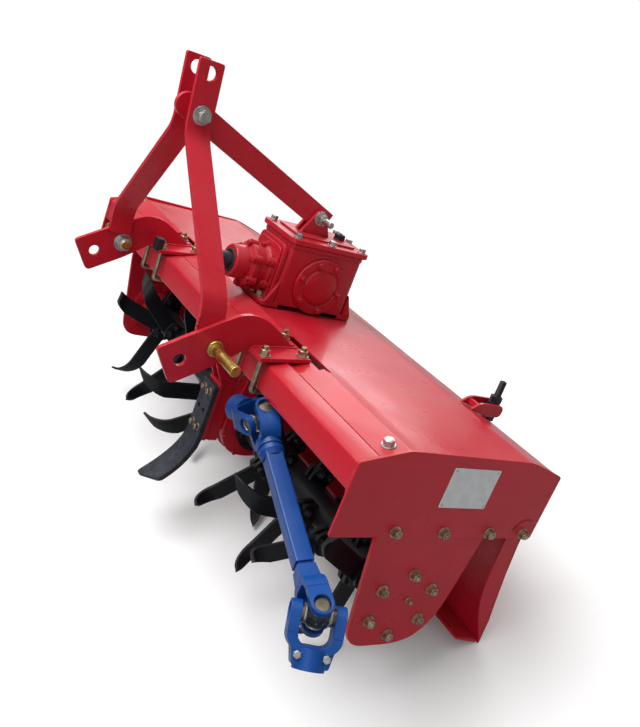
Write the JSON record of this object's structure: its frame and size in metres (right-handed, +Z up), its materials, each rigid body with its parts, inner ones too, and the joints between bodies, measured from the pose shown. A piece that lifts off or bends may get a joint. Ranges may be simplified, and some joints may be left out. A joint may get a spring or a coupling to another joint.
{
  "type": "rotary tiller",
  "caption": "Tractor-mounted rotary tiller with a folded hood, bladed rotor, top gearbox, three-point hitch, hinged tailboard and stowed drive shaft, parked on its blades.",
  "frame": {"origin": "centre of the bounding box's base, on the floor that the parked machine stands on", "axes": "+X across the machine to its left-hand end, +Y rearward to the tailboard, +Z up"},
  "size_m": [1.534, 0.7104, 1.0994],
  "materials": {
    "red_paint": "gloss enamel, worn at edges",
    "black_paint": "semi-gloss black enamel",
    "blue_paint": "gloss enamel",
    "zinc_plate": "dull zinc plate",
    "yellow_zinc": "yellow passivated zinc plate",
    "dark_steel": "dark rolled steel",
    "bare_plate": "satin"
  },
  "bodies": {
    "machine_frame": {"main_beam": "red_paint", "hood": "red_paint", "clamp_strip_left": "red_paint", "clamp_strip_right": "red_paint", "clamp_strip_centre": "red_paint", "end_plate_left": "red_paint", "end_plate_right": "red_paint", "nameplate": "bare_plate", "drop_plate_left": "red_paint", "drop_plate_right": "red_paint", "bearing_housing_left": "red_paint", "bearing_housing_right": "red_paint", "centre_case": "red_paint", "share_bracket": "red_paint", "share": "dark_steel", "gearbox_housing": "red_paint", "gearbox_lid": "red_paint", "side_cover_left": "red_paint", "side_cover_right": "red_paint", "input_housing": "red_paint", "hitch_plate_left": "red_paint", "hitch_plate_right": "red_paint", "hitch_pin_left": "yellow_zinc", "hitch_pin_right": "yellow_zinc", "mast_bar_left": "red_paint", "mast_bar_right": "red_paint", "cross_bolt": "zinc_plate", "top_brace": "red_paint", "adjuster_bracket_left": "red_paint", "adjuster_bracket_right": "red_paint", "shaft_tube": "blue_paint", "shaft_inboard_cross": "zinc_plate", "shaft_inboard_yoke": "blue_paint"},
    "rotor": {"rotor_left": "black_paint", "rotor_right": "black_paint"},
    "drive_input": {"input_shaft": "dark_steel"},
    "tailboard": {"tailboard": "red_paint"},
    "adjuster_blocks": {"adjuster_block_left": "black_paint", "adjuster_block_right": "black_paint"},
    "adjuster_rods": {"adjuster_rod_left": "black_paint", "adjuster_rod_right": "black_paint"},
    "shaft_slider": {"shaft_bar": "blue_paint"},
    "shaft_cross": {"shaft_outboard_cross": "zinc_plate"},
    "shaft_end_yoke": {"shaft_outboard_yoke": "blue_paint"}
  },
  "joints": [
    {"name": "rotor_spin", "type": "hinge", "parent": "machine_frame", "child": "rotor", "pos_m": [-0.05801, -0.06511, 0.22543], "axis": [1, 0, 0], "continuous": true},
    {"name": "drive_input_spin", "type": "hinge", "parent": "machine_frame", "child": "drive_input", "pos_m": [-0.05801, -0.1314, 0.68556], "axis": [0, 0.9047, -0.426], "continuous": true},
    {"name": "tailboard_swing", "type": "hinge", "parent": "machine_frame", "child": "tailboard", "pos_m": [-0.05801, 0.20869, 0.28108], "axis": [1, 0, 0], "range_deg": [0, 35]},
    {"name": "adjuster_pivot", "type": "hinge", "parent": "machine_frame", "child": "adjuster_blocks", "pos_m": [-0.05801, 0.32113, 0.38841], "axis": [1, 0, 0], "range_deg": [0, 14.5]},
    {"name": "adjuster_slide", "type": "slide", "parent": "adjuster_blocks", "child": "adjuster_rods", "axis": [0, 0.4187, 0.9081], "range_m": [0, 0.045]},
    {"name": "shaft_slide", "type": "slide", "parent": "machine_frame", "child": "shaft_slider", "axis": [0.9301, -0.2114, -0.3004], "range_m": [0, 0.08]},
    {"name": "shaft_cross_turn", "type": "hinge", "parent": "shaft_slider", "child": "shaft_cross", "pos_m": [0.699, -0.26999, 0.37718], "axis": [0.3297, 0.1198, 0.9365], "range_deg": [-10, 50]},
    {"name": "shaft_yoke_turn", "type": "hinge", "parent": "shaft_cross", "child": "shaft_end_yoke", "pos_m": [0.699, -0.26999, 0.37718], "axis": [0.4691, 0.84, -0.2726], "range_deg": [-60, 5]}
  ],
  "couplings": [
    {"joint": "drive_input_spin", "follows": "rotor_spin", "ratio": 2.5},
    {"joint": "adjuster_pivot", "follows": "tailboard_swing", "ratio": 0.4},
    {"joint": "adjuster_slide", "follows": "tailboard_swing", "m_per_rad": 0.072029}
  ]
}
